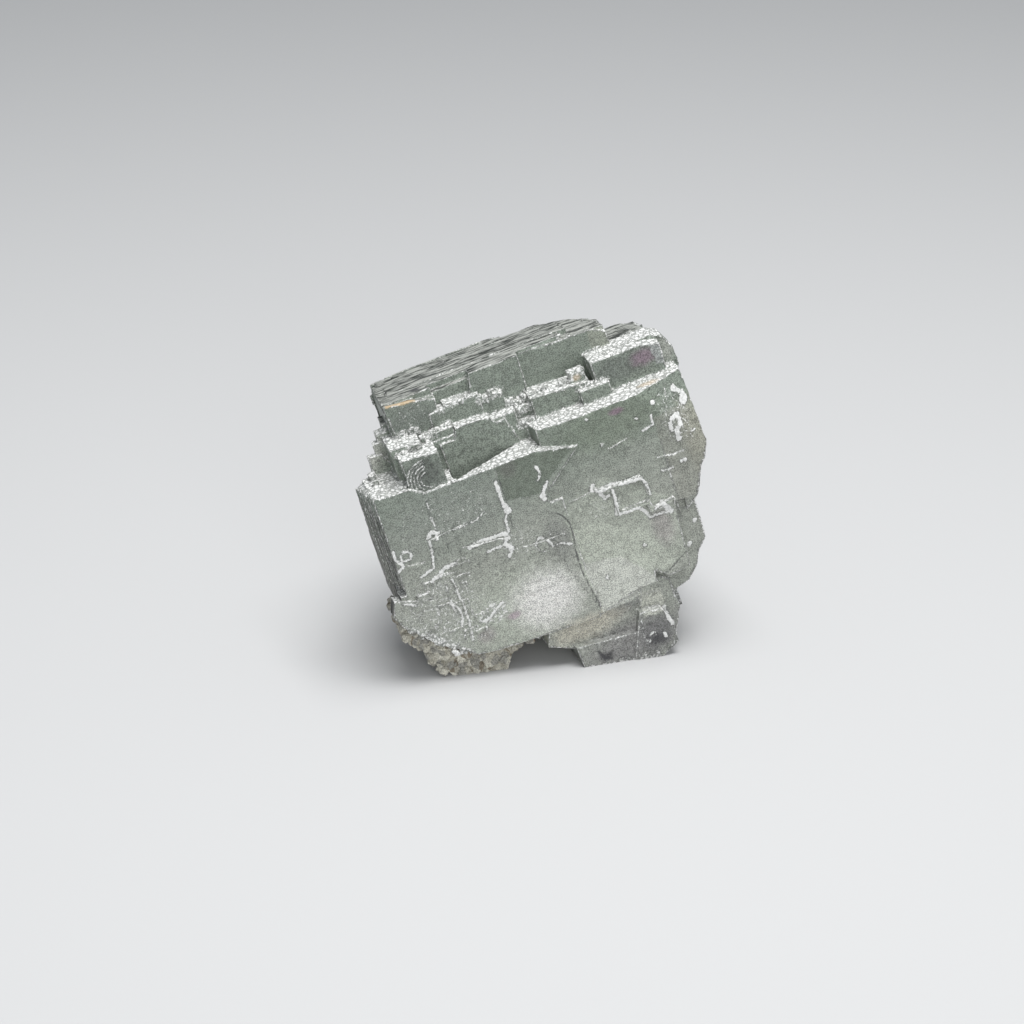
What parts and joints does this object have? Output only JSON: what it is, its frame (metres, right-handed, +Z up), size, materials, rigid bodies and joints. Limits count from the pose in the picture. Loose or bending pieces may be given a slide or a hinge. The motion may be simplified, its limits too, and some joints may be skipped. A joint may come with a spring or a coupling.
{
  "type": "stepped fluorite crystal specimen",
  "caption": "Hand-sized cluster of stepped, square crystals, frosted on the ledges and translucent grey-green, with a crust of beige grains under one foot.",
  "frame": {"origin": "on the surface it rests on, under the middle of its bounding box", "axes": "+Z up; -Y is the side with the large flat crystal faces; +X runs to the right along the ledges as seen from that side"},
  "size_m": [0.047, 0.0352, 0.0455],
  "materials": {
    "crystal": "translucent grey-green crystal, etched to a satin frost, whiter on the ledges",
    "crust": "dull beige crust of small grains"
  },
  "bodies": {
    "root": {"crystal_cluster": "crystal", "grain_crust": "crust"}
  },
  "joints": []
}
